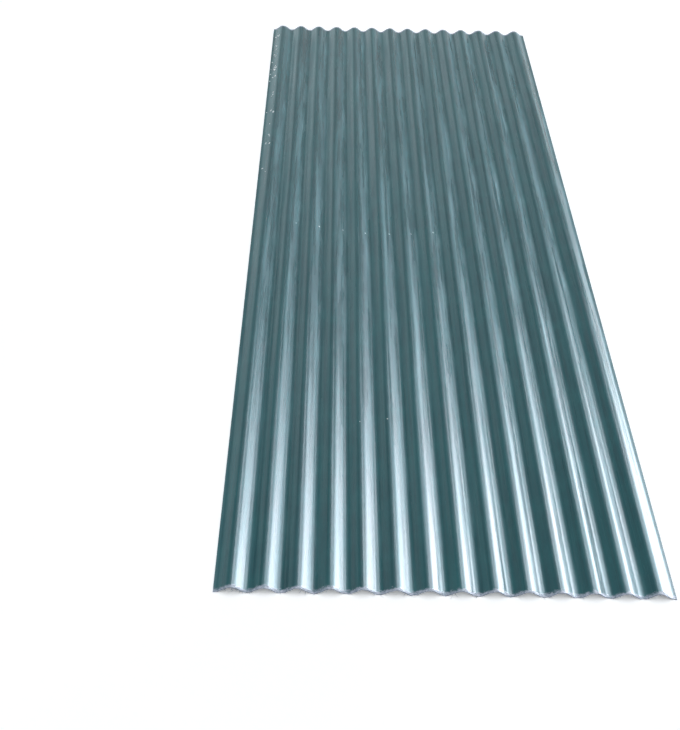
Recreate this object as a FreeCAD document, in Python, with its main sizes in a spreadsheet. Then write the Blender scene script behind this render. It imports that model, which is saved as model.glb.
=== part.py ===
"""A corrugated roofing sheet of glass-reinforced polyester, one moulded piece lying flat.

X runs across the waves, Y along them and Z up. The origin is on the floor under the middle of the sheet.
"""

import FreeCAD, Part
import Sketcher
import math
import os

# Driving dimensions: alias, value in millimetres (a count or degrees where said), meaning
SIZES = (
    ("sheet_length", 2400, "length along the waves"),
    ("wave_count", 14, "whole waves across the sheet, a number"),
    ("wave_pitch", 64, "crest to crest"),
    ("wave_height", 15, "trough to crest, measured on one surface"),
    ("flank_angle", 36, "slope of the straight flank between a trough and a crest, degrees"),
    ("thickness", 2, "laminate, square to its surface"),
    ("side_lip", 2, "level strip left outside the outermost troughs by the trimming saw"),
)
SHEET_NAME = "corrugated_sheet"
START, END, CENTRE = 1, 2, 3  # the numbers that a sketch gives to the points of a line or an arc
ORIGIN = (-1, START)
X_AXIS = -1


def make_sizes(doc):
    """The spreadsheet that holds the driving dimensions, one alias to a row."""
    sheet = doc.addObject("Spreadsheet::Sheet", "Sizes")
    for row, (alias, value, meaning) in enumerate(SIZES, start=1):
        sheet.set(f"A{row}", alias)
        sheet.set(f"B{row}", str(value))
        sheet.set(f"C{row}", meaning)
        sheet.setAlias(f"B{row}", alias)
    doc.recompute()
    return sheet


def origin_feature(body, role):
    """One of the body's own origin planes or axes."""
    return next(f for f in body.Origin.OriginFeatures if f.Role == role)


def section_sketch(body, name):
    """An empty sketch on the body's upright XZ plane, square to the waves."""
    sketch = body.newObject("Sketcher::SketchObject", name)
    sketch.AttachmentSupport = [(origin_feature(body, "XZ_Plane"), "")]
    sketch.MapMode = "FlatFace"
    return sketch


def arc(x, z, radius, start_degrees, end_degrees):
    """An arc in the sketch plane, counterclockwise."""
    circle = Part.Circle(FreeCAD.Vector(x, z, 0), FreeCAD.Vector(0, 0, 1), radius)
    return Part.ArcOfCircle(circle, math.radians(start_degrees), math.radians(end_degrees))


def line(start, end):
    """A straight edge between two points of the sketch plane."""
    return Part.LineSegment(start, end)


def drive(sketch, name, constraint, formula):
    """Adds a dimension to the sketch, names it and binds it to the spreadsheet."""
    number = sketch.addConstraint(constraint)
    sketch.renameConstraint(number, name)
    sketch.setExpression(f"Constraints.{name}", formula)


def draw_wave(sketch, sizes):
    """One wave's closed section, from the middle of a trough to the middle of the next.

    Each surface is half a trough arc, a straight flank, a crest arc, a flank and half a trough arc,
    all tangent. The two surfaces share their arc centres, so the wall has one thickness throughout.
    """
    pitch = sizes.wave_pitch
    height = sizes.wave_height
    wall = sizes.thickness
    angle = sizes.flank_angle
    sine, cosine = math.sin(math.radians(angle)), math.cos(math.radians(angle))
    # the arc radius halfway through the wall, for which the flanks are tangent at both ends
    middle_radius = (pitch / 2 * sine - height * cosine) / (2 * (1 - cosine))
    outer, inner = middle_radius + wall / 2, middle_radius - wall / 2
    trough_z, crest_z = outer, height + wall - outer

    under = [
        arc(0, trough_z, outer, 270, 270 + angle),
        arc(pitch / 2, crest_z, inner, 90 - angle, 90 + angle),
        arc(pitch, trough_z, outer, 270 - angle, 270),
    ]
    upper = [
        arc(0, trough_z, inner, 270, 270 + angle),
        arc(pitch / 2, crest_z, outer, 90 - angle, 90 + angle),
        arc(pitch, trough_z, inner, 270 - angle, 270),
    ]
    rising, falling = [], []
    for left, crest, right in (under, upper):
        rising.append(line(left.EndPoint, crest.EndPoint))
        falling.append(line(crest.StartPoint, right.StartPoint))
    add = sketch.addGeometry
    under_left, under_crest, under_right = (add(a, False) for a in under)
    upper_left, upper_crest, upper_right = (add(a, False) for a in upper)
    under_rise, upper_rise = (add(edge, False) for edge in rising)
    under_fall, upper_fall = (add(edge, False) for edge in falling)
    left_end = add(line(under[0].StartPoint, upper[0].StartPoint), False)
    right_end = add(line(under[2].EndPoint, upper[2].EndPoint), False)
    crest_top = add(Part.Point(FreeCAD.Vector(pitch / 2, height + wall, 0)), True)

    constraint = Sketcher.Constraint
    rules = []
    for left, rise, crest, fall, right in (
        (under_left, under_rise, under_crest, under_fall, under_right),
        (upper_left, upper_rise, upper_crest, upper_fall, upper_right),
    ):
        rules += [
            constraint("Tangent", left, END, rise, START),
            constraint("Tangent", rise, END, crest, END),
            constraint("Tangent", crest, START, fall, START),
            constraint("Tangent", fall, END, right, START),
        ]
    rules += [
        constraint("Coincident", left_end, START, under_left, START),
        constraint("Coincident", left_end, END, upper_left, START),
        constraint("Coincident", right_end, START, under_right, END),
        constraint("Coincident", right_end, END, upper_right, END),
        constraint("Coincident", under_left, START, *ORIGIN),
        constraint("Horizontal", under_left, START, under_right, END),
        constraint("Vertical", left_end),
        constraint("Vertical", right_end),
        constraint("Coincident", upper_left, CENTRE, under_left, CENTRE),
        constraint("Coincident", upper_crest, CENTRE, under_crest, CENTRE),
        constraint("Coincident", upper_right, CENTRE, under_right, CENTRE),
        constraint("Vertical", under_left, CENTRE, under_left, START),
        constraint("Vertical", under_right, CENTRE, under_right, END),
        constraint("Equal", under_left, under_right),
        constraint("Equal", under_left, upper_crest),
        constraint("Equal", under_crest, upper_left),
        constraint("Equal", under_crest, upper_right),
        constraint("PointOnObject", crest_top, START, upper_crest),
        constraint("Vertical", crest_top, START, upper_crest, CENTRE),
    ]
    sketch.addConstraint(rules)
    drive(
        sketch,
        "pitch",
        constraint("DistanceX", under_left, START, under_right, END, pitch),
        "Sizes.wave_pitch",
    )
    drive(
        sketch,
        "half_pitch",
        constraint("DistanceX", under_left, START, under_crest, CENTRE, pitch / 2),
        "Sizes.wave_pitch / 2",
    )
    drive(
        sketch,
        "crest_height",
        constraint("DistanceY", under_left, START, crest_top, START, height + wall),
        "Sizes.wave_height + Sizes.thickness",
    )
    drive(
        sketch,
        "wall",
        constraint("DistanceY", left_end, START, left_end, END, wall),
        "Sizes.thickness",
    )
    drive(
        sketch,
        "flank_slope",
        constraint("Angle", X_AXIS, START, under_rise, START, math.radians(angle)),
        "Sizes.flank_angle * 1 deg",
    )


def draw_lip(sketch, sizes):
    """The level strip outside the first trough: a rectangle with its inner foot on the sketch origin."""
    lip, wall = sizes.side_lip, sizes.thickness
    corners = [FreeCAD.Vector(x, z, 0) for x, z in ((-lip, 0), (0, 0), (0, wall), (-lip, wall))]
    edges = [
        sketch.addGeometry(line(corner, corners[(i + 1) % 4]), False)
        for i, corner in enumerate(corners)
    ]
    constraint = Sketcher.Constraint
    bottom, inner, top, outer = edges
    sketch.addConstraint(
        [
            constraint("Coincident", edge, END, edges[(i + 1) % 4], START)
            for i, edge in enumerate(edges)
        ]
        + [
            constraint("Horizontal", bottom),
            constraint("Horizontal", top),
            constraint("Vertical", inner),
            constraint("Vertical", outer),
            constraint("Coincident", bottom, END, *ORIGIN),
        ]
    )
    drive(
        sketch,
        "lip",
        constraint("DistanceX", bottom, START, bottom, END, lip),
        "Sizes.side_lip",
    )
    drive(
        sketch,
        "wall",
        constraint("DistanceY", inner, START, inner, END, wall),
        "Sizes.thickness",
    )


def pad_along_waves(body, sketch, name):
    """Carries a section along the whole sheet, half of it to each side of the middle."""
    pad = body.newObject("PartDesign::Pad", name)
    pad.Profile = sketch
    pad.SideType = "Symmetric"
    pad.setExpression("Length", "Sizes.sheet_length")
    return pad


def move_to_first_trough(sketch):
    """Puts the sketch's origin at the outermost trough on the -X side."""
    sketch.setExpression("AttachmentOffset.Base.x", "-Sizes.wave_count * Sizes.wave_pitch / 2")


def make_sheet(doc, sizes):
    """The corrugated sheet: one wave, repeated across the width, with a trimmed lip at each side."""
    body = doc.addObject("PartDesign::Body", SHEET_NAME)
    body.Label = SHEET_NAME

    wave_section = section_sketch(body, "wave_section")
    draw_wave(wave_section, sizes)
    move_to_first_trough(wave_section)
    first_wave = pad_along_waves(body, wave_section, "first_wave")
    doc.recompute()

    waves = body.newObject("PartDesign::LinearPattern", "waves")
    waves.Originals = [first_wave]
    waves.Direction = (origin_feature(body, "X_Axis"), [""])
    waves.Mode = "Spacing"
    waves.setExpression("Offset", "Sizes.wave_pitch")
    waves.setExpression("Occurrences", "Sizes.wave_count")
    waves.Refine = True
    body.Tip = waves
    doc.recompute()

    lip_section = section_sketch(body, "lip_section")
    draw_lip(lip_section, sizes)
    move_to_first_trough(lip_section)
    left_lip = pad_along_waves(body, lip_section, "left_lip")
    doc.recompute()

    right_lip = body.newObject("PartDesign::Mirrored", "right_lip")
    right_lip.Originals = [left_lip]
    right_lip.MirrorPlane = (origin_feature(body, "YZ_Plane"), [""])
    right_lip.Refine = True
    body.Tip = right_lip
    doc.recompute()
    return body


def check(doc, pieces):
    """Stops if an object failed to recompute, or a piece isn't one valid solid."""
    for item in doc.Objects:
        if "Invalid" in item.State or "Error" in item.State:
            raise RuntimeError(f"{item.Label} did not recompute: {item.State}")
    for piece in pieces:
        shape = piece.Shape
        if shape.isNull() or not shape.isValid() or len(shape.Solids) != 1:
            raise RuntimeError(f"{piece.Label} is not one valid solid")


def main():
    doc = FreeCAD.newDocument("corrugated_roofing_sheet")
    sizes = make_sizes(doc)
    pieces = [make_sheet(doc, sizes)]
    doc.recompute()
    check(doc, pieces)
    os.makedirs("parts", exist_ok=True)
    for piece in pieces:
        piece.Shape.exportStep(f"parts/{piece.Label}.step")
        box = piece.Shape.BoundBox
        print(
            f"{piece.Label}: {box.XLength:.2f} x {box.YLength:.2f} x {box.ZLength:.2f} mm,"
            f" {piece.Shape.Volume / 1000:.1f} cm3, {len(piece.Shape.Faces)} faces"
        )


main()
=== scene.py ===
import math

import bpy
import numpy as np
from mathutils import Euler, Matrix


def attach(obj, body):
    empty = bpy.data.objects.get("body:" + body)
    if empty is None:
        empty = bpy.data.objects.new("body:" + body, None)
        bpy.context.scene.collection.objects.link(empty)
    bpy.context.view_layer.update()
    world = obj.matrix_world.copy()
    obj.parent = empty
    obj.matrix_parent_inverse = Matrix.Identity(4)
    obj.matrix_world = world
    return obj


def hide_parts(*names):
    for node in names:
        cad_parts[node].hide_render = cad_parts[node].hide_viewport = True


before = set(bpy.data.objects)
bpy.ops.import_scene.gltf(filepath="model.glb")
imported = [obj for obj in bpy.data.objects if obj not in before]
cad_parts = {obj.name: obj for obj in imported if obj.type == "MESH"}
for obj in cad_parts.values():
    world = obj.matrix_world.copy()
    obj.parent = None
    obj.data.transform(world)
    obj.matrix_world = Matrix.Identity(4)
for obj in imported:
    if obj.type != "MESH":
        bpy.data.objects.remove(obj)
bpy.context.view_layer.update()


def to_linear(code):
    """An sRGB hex colour as the linear RGBA that a node socket takes."""
    channels = [int(code[i : i + 2], 16) / 255 for i in (1, 3, 5)]
    linear = [c / 12.92 if c <= 0.04045 else ((c + 0.055) / 1.055) ** 2.4 for c in channels]
    return (*linear, 1.0)


def new_material(name):
    """An empty node material with its principled shader and output, and its node tree."""
    material = bpy.data.materials.new(name)
    material.use_nodes = True
    tree = material.node_tree
    tree.nodes.clear()
    output = tree.nodes.new("ShaderNodeOutputMaterial")
    shader = tree.nodes.new("ShaderNodeBsdfPrincipled")
    tree.links.new(shader.outputs[0], output.inputs["Surface"])
    return material, tree, shader


def add(tree, kind, settings=None, **inputs):
    """A node of that kind. A socket value fills the input of that name, a socket is linked to it."""
    node = tree.nodes.new("ShaderNode" + kind)
    for name, value in (settings or {}).items():
        setattr(node, name, value)
    for name, value in inputs.items():
        socket = node.inputs[int(name[1:])] if name[1:].isdigit() else node.inputs[name]
        if isinstance(value, bpy.types.NodeSocket):
            tree.links.new(value, socket)
        else:
            socket.default_value = value
    return node


def math_of(tree, operation, *values):
    """The result of a Math node on one, two or three values or sockets."""
    node = add(
        tree, "Math", {"operation": operation}, **{f"i{n}": value for n, value in enumerate(values)}
    )
    return node.outputs[0]


def ramp(tree, value, low, high, start=0.0, end=1.0):
    """Goes smoothly from start to end while the value goes from low to high."""
    node = add(
        tree,
        "MapRange",
        {"interpolation_type": "SMOOTHSTEP"},
        Value=value,
        **{"From Min": low, "From Max": high, "To Min": start, "To Max": end},
    )
    return node.outputs[0]


def noise(tree, scale_mm, detail=3.0, roughness=0.5):
    """Noise in object space with its features this many millimetres long in X, Y and Z."""
    where = add(tree, "TexCoord").outputs["Object"]
    scaled = add(tree, "Mapping", None, Vector=where, Scale=[1000.0 / mm for mm in scale_mm])
    grain = add(
        tree, "TexNoise", None, Vector=scaled.outputs[0], Scale=1.0, Detail=detail, Roughness=roughness
    )
    return grain.outputs[0]


def mix(tree, factor, first, second):
    """Two colours, mixed by a factor."""
    node = add(tree, "Mix", {"data_type": "RGBA"})
    for index, value in ((0, factor), (6, first), (7, second)):
        if isinstance(value, bpy.types.NodeSocket):
            tree.links.new(value, node.inputs[index])
        else:
            node.inputs[index].default_value = value
    return node.outputs[2]


def sees_background(tree):
    """1 for a ray that shows the white background: straight from the camera, mirrored or let through."""
    path = add(tree, "LightPath")
    direct, mirrored, through = (
        path.outputs[name] for name in ("Is Camera Ray", "Is Glossy Ray", "Is Transmission Ray")
    )
    return math_of(tree, "MAXIMUM", math_of(tree, "MAXIMUM", direct, mirrored), through)


# The camera stands before the near end of the sheet at eye height, a little left of its middle, and
# looks down along the waves.
camera_data = bpy.data.cameras.new("camera")
camera_data.lens = 51.1
camera_data.clip_end = 200
camera = bpy.data.objects.new("camera", camera_data)
bpy.context.scene.collection.objects.link(camera)
bpy.context.scene.camera = camera
facing = Euler((math.radians(90 - 43.4), 0, math.radians(-1.2))).to_matrix()
turned = facing @ Matrix.Rotation(math.radians(2.0), 3, "Z")
camera.matrix_world = Matrix.Translation((-0.244, -2.349, 1.697)) @ turned.to_4x4()

scene = bpy.context.scene
scene.view_settings.view_transform = "Standard"

# The floor is a level white studio floor, so large that its edge is out of sight.
floor_mesh = bpy.data.meshes.new("floor")
reach = 60.0
floor_mesh.from_pydata(
    [(-reach, -reach, 0), (reach, -reach, 0), (reach, reach, 0), (-reach, reach, 0)],
    [],
    [(0, 1, 2, 3)],
)
floor = bpy.data.objects.new("floor", floor_mesh)
scene.collection.objects.link(floor)
material, tree, shader = new_material("matt white painted floor")
floor_tone = noise(tree, (900, 900, 900), 2.0)
painted = mix(tree, ramp(tree, floor_tone, 0.3, 0.7), to_linear("#F4F5F6"), to_linear("#F8F8F9"))
tree.links.new(painted, shader.inputs["Base Color"])
shader.inputs["Roughness"].default_value = 0.9
shader.inputs["Specular IOR Level"].default_value = 0.1
shader.inputs["Emission Color"].default_value = (1.0, 1.0, 1.0, 1.0)
whiter = math_of(tree, "MULTIPLY", sees_background(tree), 0.27)
tree.links.new(whiter, shader.inputs["Emission Strength"])
floor_mesh.materials.append(material)

# The studio around it is an even soft white. It shows in the gloss, and lights the sheet only faintly.
world = bpy.data.worlds.new("soft studio")
scene.world = world
world.use_nodes = True
sky = world.node_tree
sky.nodes.clear()
sky_output = sky.nodes.new("ShaderNodeOutputWorld")
lit = add(sky, "Background", None, Color=to_linear("#DDEDF6"), Strength=0.22)
white = add(sky, "Background", None, Color=(1.0, 1.0, 1.0, 1.0), Strength=1.0)
both = sky.nodes.new("ShaderNodeMixShader")
sky.links.new(sees_background(sky), both.inputs[0])
sky.links.new(lit.outputs[0], both.inputs[1])
sky.links.new(white.outputs[0], both.inputs[2])
sky.links.new(both.outputs[0], sky_output.inputs["Surface"])


def softbox(name, direction, spread, radiance, colour):
    """A lit panel in the direction (azimuth, elevation) that takes up spread (wide, high) degrees.

    Azimuth 0 is +Y and 90 is +X. A panel that takes up the angle a at the distance d is
    2 d tan(a / 2) long.
    """
    distance = 40.0
    azimuth, elevation = np.radians(direction)
    data = bpy.data.lights.new(name, "AREA")
    data.shape = "RECTANGLE"
    data.size, data.size_y = 2 * distance * np.tan(np.radians(spread) / 2)
    data.energy = radiance * math.pi * data.size * data.size_y
    data.color = to_linear(colour)[:3]
    level = math.cos(elevation)
    back = np.array([level * math.sin(azimuth), level * math.cos(azimuth), math.sin(elevation)])
    side = np.array([-math.cos(azimuth), math.sin(azimuth), 0.0])
    up = np.cross(back, side)
    turn = Matrix([[side[i], up[i], back[i]] for i in range(3)])
    lamp = bpy.data.objects.new(name, data)
    lamp.matrix_world = Matrix.Translation(distance * back) @ turn.to_4x4()
    scene.collection.objects.link(lamp)
    return lamp


# The plain level comes evenly from overhead. The soft boxes are seen only in the gloss: tall ones on
# the right draw the white lines on the right-hand flanks, high and front ones light the crests and the
# left-hand flanks, and the last two stand behind and to the left for the other sides.
overhead = bpy.data.objects.new("overhead", bpy.data.lights.new("overhead", "SUN"))
overhead.data.angle = math.radians(80)
overhead.data.energy = 1.95
overhead.visible_glossy = False
scene.collection.objects.link(overhead)
for name, direction, spread, radiance, colour in (
    ("right_wide", (75.5, 25), (56, 50), 20.0, "#F1F5FF"),
    ("right_tall", (77, 23), (46, 46), 19.5, "#F1F5FF"),
    ("right_core", (72, 16), (35, 28), 12.0, "#F6F7FF"),
    ("upper_right", (28, 55), (23, 23), 18.0, "#EEF4FF"),
    ("upper_left", (-14, 54), (22, 24), 1.6, "#D8EBFA"),
    ("front_left", (-37, 14), (43, 24), 1.4, "#CFEAF4"),
    ("rear_right", (140, 24), (60, 32), 1.4, "#E4F1FF"),
    ("left", (-112, 22), (60, 30), 0.7, "#E4F1FF"),
):
    softbox(name, direction, spread, radiance, colour).visible_diffuse = False

# The sheet is one laminate of chopped glass strand in tinted polyester, cured between two glossy films
# over corrugated formers. It has a little wander and sag of its waves and ragged sawn ends.
pitch, height, slope, wall = 0.064, 0.015, math.radians(36), 0.002
waves, lip, length = 14, 0.002, 2.4


def wave_section(arc_steps=5, flank_steps=4):
    """One wave's mid line from trough to trough: its x, z and the tilt t of its normal towards +X.

    On a trough arc x = -r sin t and z = r (1 - cos t), on a crest arc x = p/2 + r sin t and
    z = h - r (1 - cos t), and the flanks are the straight lines between them.
    """
    r = (pitch / 2 * math.sin(slope) - height * math.cos(slope)) / (2 * (1 - math.cos(slope)))
    down = np.linspace(0, -slope, arc_steps + 1)
    over = np.linspace(-slope, slope, 2 * arc_steps + 1)
    trough_x, trough_z = -r * np.sin(down), r * (1 - np.cos(down))
    crest_x, crest_z = pitch / 2 + r * np.sin(over), height - r * (1 - np.cos(over))
    part = np.linspace(0, 1, flank_steps + 1)[1:-1]
    rise_x = trough_x[-1] + part * (crest_x[0] - trough_x[-1])
    rise_z = trough_z[-1] + part * (crest_z[0] - trough_z[-1])
    half = arc_steps + 1
    x = np.concatenate([trough_x, rise_x, crest_x[:half]])
    z = np.concatenate([trough_z, rise_z, crest_z[:half]])
    tilt = np.concatenate([down, np.full(len(part), -slope), over[:half]])
    x = np.concatenate([x, pitch - x[-2::-1]])
    z = np.concatenate([z, z[-2::-1]])
    tilt = np.concatenate([tilt, -tilt[-2::-1]])
    return x, z, tilt


def soft_noise(rng, span, points):
    """Smooth random values between -1 and 1 at even points, with about one swing for each span."""
    knots = rng.uniform(-1, 1, int(points[-1] / span) + 4)
    where = np.asarray(points) / span + 1
    low = np.clip(where.astype(int), 0, len(knots) - 2)
    part = where - low
    ease = part * part * (3 - 2 * part)
    return knots[low] * (1 - ease) + knots[low + 1] * ease


def sheet_surface():
    """Vertices and quads of the closed shell, a grid of stations across and rows along.

    upper and under = mid line + and - half the wall along the normal (sin t, 0, cos t), then
    x moves by a slow wander of its wave, and z is multiplied by 1 - sag / (h + wall).
    """
    rng = np.random.default_rng(41)
    x, z, tilt = wave_section()
    across_x = np.concatenate([-pitch * waves / 2 + n * pitch + x[:-1] for n in range(waves)])
    across_z, across_t = np.tile(z[:-1], waves), np.tile(tilt[:-1], waves)
    edge = pitch * waves / 2
    across_x = np.concatenate([[-edge - lip], across_x, [edge, edge + lip]])
    across_z = np.concatenate([[0.0], across_z, [0.0, 0.0]])
    across_t = np.concatenate([[0.0], across_t, [0.0, 0.0]])
    columns = len(across_x)
    rows = 130
    y = np.linspace(-length / 2, length / 2, rows)
    along = y + length / 2
    inside = np.minimum(1, (np.abs(np.abs(across_x) - edge - lip)) / 0.03)
    wander = np.zeros((rows, columns))
    sag = np.zeros((rows, columns))
    for n in range(waves):
        near = np.clip(1 - np.abs(across_x - (-edge + (n + 0.5) * pitch)) / pitch, 0, 1)
        wander += 0.0005 * soft_noise(rng, 0.5, along)[:, None] * near * inside
        sag += 0.0003 * (0.5 + 0.5 * soft_noise(rng, 0.35, along))[:, None] * near
    ragged = [0.0007 * (1 + soft_noise(rng, 0.006, across_x + edge + lip)) for _ in range(2)]
    sheets = []
    for side in (1, -1):
        sx = across_x + side * wall / 2 * np.sin(across_t)
        sz = wall / 2 + across_z + side * wall / 2 * np.cos(across_t)
        full_x = sx[None, :] + wander
        squash = 1 - sag / (height + wall)
        full_z = sz[None, :] * squash
        full_y = np.repeat(y[:, None], columns, axis=1)
        full_y[0] += ragged[0]
        full_y[-1] -= ragged[1]
        sheets.append(np.stack([full_x, full_y, full_z], axis=-1))
    upper, under = sheets
    points = np.concatenate([upper.reshape(-1, 3), under.reshape(-1, 3)])
    index = np.arange(rows * columns).reshape(rows, columns)
    shift = rows * columns
    top = np.stack([index[:-1, :-1], index[:-1, 1:], index[1:, 1:], index[1:, :-1]], -1).reshape(-1, 4)
    low = top[:, ::-1] + shift
    near_end = np.stack([index[0, :-1] + shift, index[0, 1:] + shift, index[0, 1:], index[0, :-1]], -1)
    far_end = np.stack([index[-1, 1:] + shift, index[-1, :-1] + shift, index[-1, :-1], index[-1, 1:]], -1)
    left = np.stack([index[1:, 0] + shift, index[:-1, 0] + shift, index[:-1, 0], index[1:, 0]], -1)
    right = np.stack([index[:-1, -1] + shift, index[1:, -1] + shift, index[1:, -1], index[:-1, -1]], -1)
    quads = np.concatenate([top, low, near_end, far_end, left, right])
    return points, quads


def mesh_from(name, points, faces, smooth=True):
    """A mesh object from arrays of vertices and of faces with one count of corners."""
    mesh = bpy.data.meshes.new(name)
    corners = faces.shape[1]
    mesh.vertices.add(len(points))
    mesh.vertices.foreach_set("co", points.astype(np.float32).ravel())
    mesh.loops.add(faces.size)
    mesh.loops.foreach_set("vertex_index", faces.astype(np.int32).ravel())
    mesh.polygons.add(len(faces))
    mesh.polygons.foreach_set("loop_start", np.arange(0, faces.size, corners, dtype=np.int32))
    mesh.update(calc_edges=True)
    mesh.validate()
    mesh.polygons.foreach_set("use_smooth", np.full(len(faces), smooth))
    made = bpy.data.objects.new(name, mesh)
    scene.collection.objects.link(made)
    return made


sheet_points, sheet_quads = sheet_surface()
sheet = mesh_from("sheet_laminate", sheet_points, sheet_quads)
sheet.data.set_sharp_from_angle(angle=math.radians(50))

# Teal tint in the resin under a film-smooth skin. The eye sees a dark blue green with faint lengthwise
# drawing of the tint, cloudy glass strand under the surface, and dull dust in the valleys.
material, tree, shader = new_material("film-cured tinted glass polyester laminate")
drawn = noise(tree, (9, 700, 60), 4.0, 0.6)
clouds = noise(tree, (45, 60, 45), 4.0, 0.6)
strand = noise(tree, (3, 9, 3), 3.0, 0.6)
place = add(tree, "SeparateXYZ", None, Vector=add(tree, "TexCoord").outputs["Object"])
x_at, y_at, z_at = place.outputs
tint = mix(tree, ramp(tree, drawn, 0.3, 0.7), to_linear("#0C4148"), to_linear("#135056"))
tint = mix(tree, ramp(tree, clouds, 0.35, 0.75, 0.0, 0.45), tint, to_linear("#195C60"))
tint = mix(tree, ramp(tree, strand, 0.45, 0.8, 0.0, 0.25), tint, to_linear("#0A2C36"))
valley = ramp(tree, z_at, 0.0035, 0.0075, 1.0, 0.0)
dust = ramp(tree, noise(tree, (20, 160, 20), 4.0), 0.45, 0.75, 0.0, 0.35)
dusty = math_of(tree, "MULTIPLY", valley, dust)
tint = mix(tree, dusty, tint, to_linear("#466A70"))
end_distance = math_of(tree, "SUBTRACT", 1.2, math_of(tree, "ABSOLUTE", y_at))
torn = math_of(tree, "MULTIPLY", noise(tree, (9, 6, 9), 5.0, 0.75), -0.026)
frayed = math_of(tree, "ADD", end_distance, torn)
whitened = ramp(tree, frayed, -0.0105, -0.003, 0.95, 0.0)
bruise = ramp(tree, noise(tree, (4, 3, 4), 4.0, 0.6), 0.38, 0.62)
tint = mix(tree, whitened, tint, mix(tree, bruise, to_linear("#B4B9C8"), to_linear("#7E8C9B")))
tree.links.new(tint, shader.inputs["Base Color"])
polish = ramp(tree, noise(tree, (12, 300, 12), 3.0), 0.3, 0.75, 0.24, 0.37)
polish = math_of(tree, "ADD", polish, math_of(tree, "MULTIPLY", dusty, 0.3))
polish = math_of(tree, "MAXIMUM", polish, math_of(tree, "MULTIPLY", whitened, 0.8))
tree.links.new(polish, shader.inputs["Roughness"])
shader.inputs["IOR"].default_value = 1.54
shader.inputs["Specular IOR Level"].default_value = 0.25
wrinkle = noise(tree, (12, 1100, 12), 3.0, 0.55)
drawn_lines = math_of(tree, "MULTIPLY", wrinkle, 0.0005)
relief = math_of(tree, "ADD", drawn_lines, math_of(tree, "MULTIPLY", strand, 0.00002))
uneven = math_of(tree, "MULTIPLY", noise(tree, (38, 600, 38), 2.0, 0.5), 0.0014)
relief = math_of(tree, "ADD", relief, uneven)
bump = add(tree, "Bump", None, Strength=1.0, Distance=1.0, Height=relief)
tree.links.new(bump.outputs[0], shader.inputs["Normal"])
sheet.data.materials.append(material)
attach(sheet, "root")
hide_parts("corrugated_sheet")

# Glass ends stand out of the sawn ends where the blade pulled the strand. They are pale, stiff, bent
# hairs a few millimetres long.


def hair_tubes(rng, count):
    """Three-sided tubes, each along a quadratic curve c(u) = a + b u + d u^2 that starts in a cut end.

    Vertex j of ring u sits at c(u) + radius (1 - 0.6 u) (cos 2 pi j / 3, 0, sin 2 pi j / 3).
    """
    section_x, section_z, _ = wave_section()
    x = rng.uniform(-0.44, 0.44, count)
    x[: count // 3] = rng.normal(-0.40, 0.02, count // 3).clip(-0.445, -0.36)
    end = np.where(rng.random(count) < 0.72, -1.0, 1.0)
    z = wall / 2 + np.interp((x + pitch * waves / 2) % pitch, section_x, section_z)
    start = np.stack([x, end * (length / 2 - 0.003), z + rng.uniform(-0.0006, 0.0006, count)], -1)
    reach_out = rng.uniform(0.004, 0.011, count)
    run = np.stack([rng.normal(0, 0.004, count), end * reach_out, rng.normal(0, 0.0015, count)], -1)
    bend = np.stack(
        [rng.normal(0, 0.005, count), -end * rng.uniform(0, 0.002, count), -rng.uniform(0, 0.003, count)],
        -1,
    )
    u = np.linspace(0, 1, 7)
    line = start[:, None] + run[:, None] * u[:, None] + bend[:, None] * (u * u)[:, None]
    line[..., 2] = line[..., 2].clip(0.0009, height + wall - 0.0009)
    line[..., 0] = line[..., 0].clip(-0.449, 0.449)
    turn = 2 * np.pi * np.arange(3) / 3
    ring = np.stack([np.cos(turn), np.zeros(3), np.sin(turn)], -1)
    radius = rng.choice([0.0003, 0.0005, 0.0008], count, p=[0.5, 0.3, 0.2])
    width = radius[:, None, None, None] * (1 - 0.6 * u)[:, None, None]
    points = line[:, :, None, :] + width * ring
    index = np.arange(count * 21).reshape(count, 7, 3)
    after = np.roll(index, -1, axis=2)
    sides = np.stack([index[:, :-1], after[:, :-1], after[:, 1:], index[:, 1:]], -1).reshape(-1, 4)
    halves = np.concatenate([sides[:, [0, 1, 2]], sides[:, [0, 2, 3]]])
    caps = np.concatenate([index[:, 0, ::-1], index[:, -1]])
    return points.reshape(-1, 3), np.concatenate([halves, caps])


hair_points, hair_faces = hair_tubes(np.random.default_rng(7), 190)
hairs = mesh_from("pulled_glass_hairs", hair_points, hair_faces[:, ::-1])
material, tree, shader = new_material("bare glass strand with crumbs of resin")
crumb = noise(tree, (1.5, 3, 1.5), 3.0)
tone = mix(tree, ramp(tree, crumb, 0.35, 0.7), to_linear("#838E99"), to_linear("#56646F"))
tree.links.new(tone, shader.inputs["Base Color"])
shader.inputs["Roughness"].default_value = 0.45
hairs.data.materials.append(material)
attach(hairs, "root")

# Crumbs of cured resin stick to the sheet: pale flakes along the left edge near the far end, where the
# film was peeled back. A row of small pale dots across the middle, one to a wave, is a painted highlight:
# the glints of a small lamp on the waves, drawn as pale chips.


def upper_height(x):
    """Height of the upper surface over a point x of the sheet."""
    section_x, section_z, tilt = wave_section(12, 8)
    over_x = section_x + wall / 2 * np.sin(tilt)
    over_z = wall / 2 + section_z + wall / 2 * np.cos(tilt)
    return np.interp((np.asarray(x) + pitch * waves / 2) % pitch, over_x, over_z)


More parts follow.
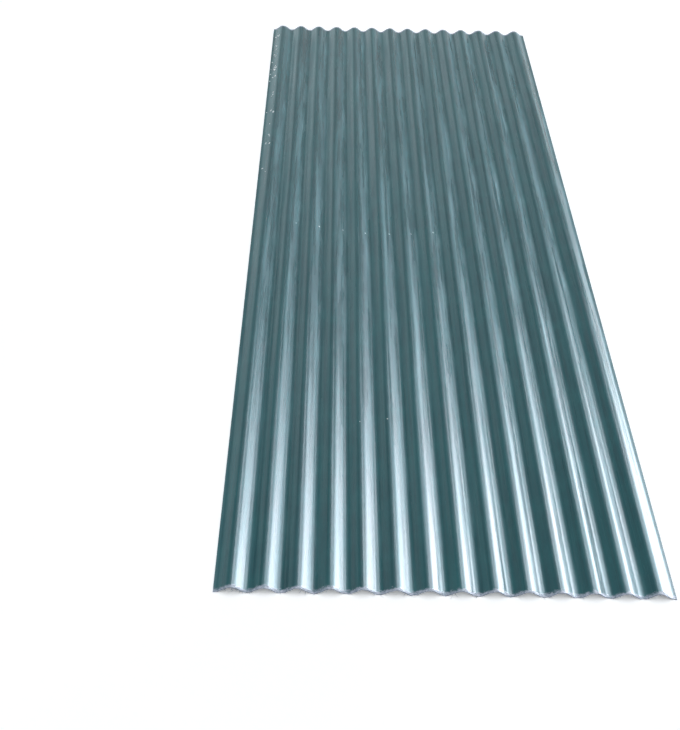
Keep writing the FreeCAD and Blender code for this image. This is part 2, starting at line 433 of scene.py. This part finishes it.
def flakes(rng, x, y, size, stretch, thick):
    """Ten-sided chips lying on the sheet, lens shaped, with an uneven rim.

    Rim vertex k of a chip is at size (1 + 0.35 noise) (cos a_k, stretch sin a_k) from its middle, on
    the sheet's own surface, and the middle stands thick above it.
    """
    count, sides = len(x), 10
    turn = 2 * np.pi * np.arange(sides) / sides
    uneven = size[:, None] * (1 + 0.35 * rng.uniform(-1, 1, (count, sides)))
    rim_x = x[:, None] + uneven * np.cos(turn)
    rim_y = y[:, None] + uneven * stretch * np.sin(turn)
    rim_x = rim_x.clip(-0.4485, 0.4485)
    rim_z = upper_height(rim_x) - 0.0004
    top = np.stack([x, y, upper_height(x) + thick], -1)[:, None]
    under = np.stack([x, y, upper_height(x) - 0.0009], -1)[:, None]
    points = np.concatenate([np.stack([rim_x, rim_y, rim_z], -1), top, under], 1)
    points[..., 2] = points[..., 2].clip(0.0, height + wall - 0.0001)
    index = np.arange(count * (sides + 2)).reshape(count, sides + 2)
    rim, after = index[:, :sides], np.roll(index[:, :sides], -1, axis=1)
    peak = np.repeat(index[:, sides : sides + 1], sides, axis=1)
    base = np.repeat(index[:, sides + 1 :], sides, axis=1)
    upward = np.stack([rim, after, peak], -1).reshape(-1, 3)
    downward = np.stack([after, rim, base], -1).reshape(-1, 3)
    return points.reshape(-1, 3), np.concatenate([upward, downward])


rng = np.random.default_rng(19)
flake_y = np.concatenate([rng.uniform(0.68, 1.17, 30), rng.uniform(0.2, 0.68, 10)])
flake_x = -0.436 + rng.normal(0, 0.006, 40).clip(-0.009, 0.03)
flake_size = rng.uniform(0.0014, 0.0040, 40)
# The first seven pale dots, in a row across the middle, are painted glints, one to a wave. The last two
# are pale dots nearer the near end.
pale_dot_x = np.array([-0.330, -0.265, -0.200, -0.138, -0.073, -0.013, 0.048, -0.162, -0.100])
pale_dot_y = np.array([0.009, -0.004, -0.018, -0.032, -0.032, -0.034, -0.027, -0.755, -0.744])
points, faces = flakes(
    rng,
    np.concatenate([flake_x, pale_dot_x]),
    np.concatenate([flake_y, pale_dot_y]),
    np.concatenate([flake_size, np.concatenate([np.full(7, 0.0027), np.full(2, 0.0019)])]),
    np.concatenate([rng.uniform(1.2, 2.6, (40, 1)), np.full((9, 1), 1.1)]),
    0.0006,
)
# One mesh and one pale material hold both the resin flakes and the painted glint dots.
resin = mesh_from("resin_flakes_and_painted_glints", points, faces)
material, tree, shader = new_material("dried pale resin flake and painted glint")
chalk = ramp(tree, noise(tree, (3, 5, 3), 3.0), 0.35, 0.65)
tone = mix(tree, chalk, to_linear("#B9C9CB"), to_linear("#F0F4F5"))
tree.links.new(tone, shader.inputs["Base Color"])
shader.inputs["Roughness"].default_value = 0.5
resin.data.materials.append(material)
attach(resin, "root")

# A few specks of dark grit are stuck in the resin, the largest two beside the left edge.
rng = np.random.default_rng(23)
grit_x = np.concatenate([[-0.412, -0.414], rng.uniform(-0.43, 0.43, 26)])
grit_y = np.concatenate([[0.011, -0.366], rng.uniform(-1.15, 1.15, 26)])
grit_size = np.concatenate([[0.0042, 0.0038], rng.uniform(0.0005, 0.0013, 26)])
points, faces = flakes(rng, grit_x, grit_y, grit_size, rng.uniform(0.8, 1.6, (28, 1)), 0.0004)
grit = mesh_from("stuck_grit", points, faces)
material, tree, shader = new_material("dark grit bedded in resin")
mottle = ramp(tree, noise(tree, (1.5, 1.5, 1.5), 3.0), 0.35, 0.65)
tone = mix(tree, mottle, to_linear("#1D2627"), to_linear("#3A4442"))
tree.links.new(tone, shader.inputs["Base Color"])
shader.inputs["Roughness"].default_value = 0.6
grit.data.materials.append(material)
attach(grit, "root")
